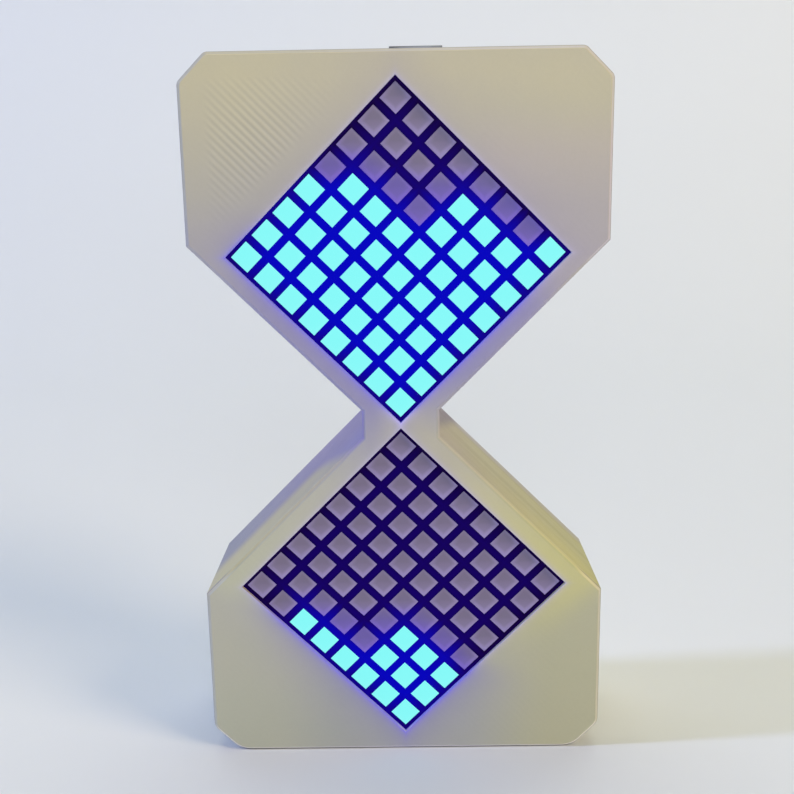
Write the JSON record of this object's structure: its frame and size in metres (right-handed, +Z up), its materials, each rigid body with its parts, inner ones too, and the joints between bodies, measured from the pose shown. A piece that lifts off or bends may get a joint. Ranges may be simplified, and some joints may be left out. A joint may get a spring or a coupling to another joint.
{
  "type": "electronic hourglass timer",
  "caption": "Hourglass-shaped electronic timer: square dot displays stand on a corner in a narrow-waisted case with a charging socket on top and a slide switch and button behind.",
  "frame": {"origin": "centre of the bounding box's base, on the face that the timer stands on", "axes": "+X to the right of the displays, +Y from the displays to the back, +Z up through both displays"},
  "size_m": [0.0558, 0.0208, 0.0994],
  "materials": {
    "case": "fine printed texture, slightly translucent",
    "display_housing": "satin black face",
    "cell_filling": null,
    "circuit_board": "green lacquer",
    "chip": "moulded resin with tinned leads",
    "ceramic": "fired ceramic with tinned ends",
    "steel": "nickel plated",
    "black_plastic": "moulded",
    "white_plastic": "moulded",
    "charge_lamp": "clear resin",
    "foil": "laminated pouch",
    "foam": "foam tape",
    "red_wire": "soft sheath",
    "black_wire": "soft sheath",
    "grey_wire": "flat ribbon"
  },
  "bodies": {
    "case": {"front_shell": "case", "rear_cover": "case", "cover_screw_1": "steel", "cover_screw_2": "steel", "cover_screw_3": "steel", "cover_screw_4": "steel", "upper_matrix_housing": "display_housing", "upper_cell_filling": "cell_filling", "upper_lamp_board": "circuit_board", "upper_driver_board": "circuit_board", "upper_driver_chip": "chip", "upper_driver_capacitor": "ceramic", "upper_driver_resistor": "chip", "upper_link_socket": "white_plastic", "upper_link_plug": "white_plastic", "lower_matrix_housing": "display_housing", "lower_cell_filling": "cell_filling", "lower_lamp_board": "circuit_board", "lower_driver_board": "circuit_board", "lower_driver_chip": "chip", "lower_driver_capacitor": "ceramic", "lower_driver_resistor": "chip", "lower_link_socket": "white_plastic", "lower_link_plug": "white_plastic", "link_ribbon": "grey_wire", "display_pin_strip": "black_plastic", "display_socket_strip": "black_plastic", "control_board": "circuit_board", "board_screw_1": "steel", "board_screw_2": "steel", "board_screw_3": "steel", "board_screw_4": "steel", "charge_socket_shell": "steel", "charge_socket_tongue": "black_plastic", "charger_chip": "chip", "charge_lamp": "charge_lamp", "controller_chip": "chip", "clock_crystal": "steel", "motion_sensor_chip": "chip", "buzzer": "black_plastic", "power_switch_frame": "steel", "power_switch_base": "black_plastic", "time_button_switch": "black_plastic", "battery_socket": "white_plastic", "battery_plug": "white_plastic", "battery_cell": "foil", "battery_guard_board": "circuit_board", "battery_pad": "foam", "battery_lead_red": "red_wire", "battery_lead_black": "black_wire"},
    "power_switch": {"power_switch_slider": "black_plastic"},
    "time_button": {"time_button_cap": "case", "time_button_plunger": "black_plastic"}
  },
  "joints": [
    {"name": "power_switch_slide", "type": "slide", "parent": "case", "child": "power_switch", "axis": [1, 0, 0], "range_m": [0, 0.002]},
    {"name": "time_button_press", "type": "slide", "parent": "case", "child": "time_button", "axis": [0, -1, 0], "range_m": [0, 0.00025], "stiffness_N_per_m": 6000}
  ]
}
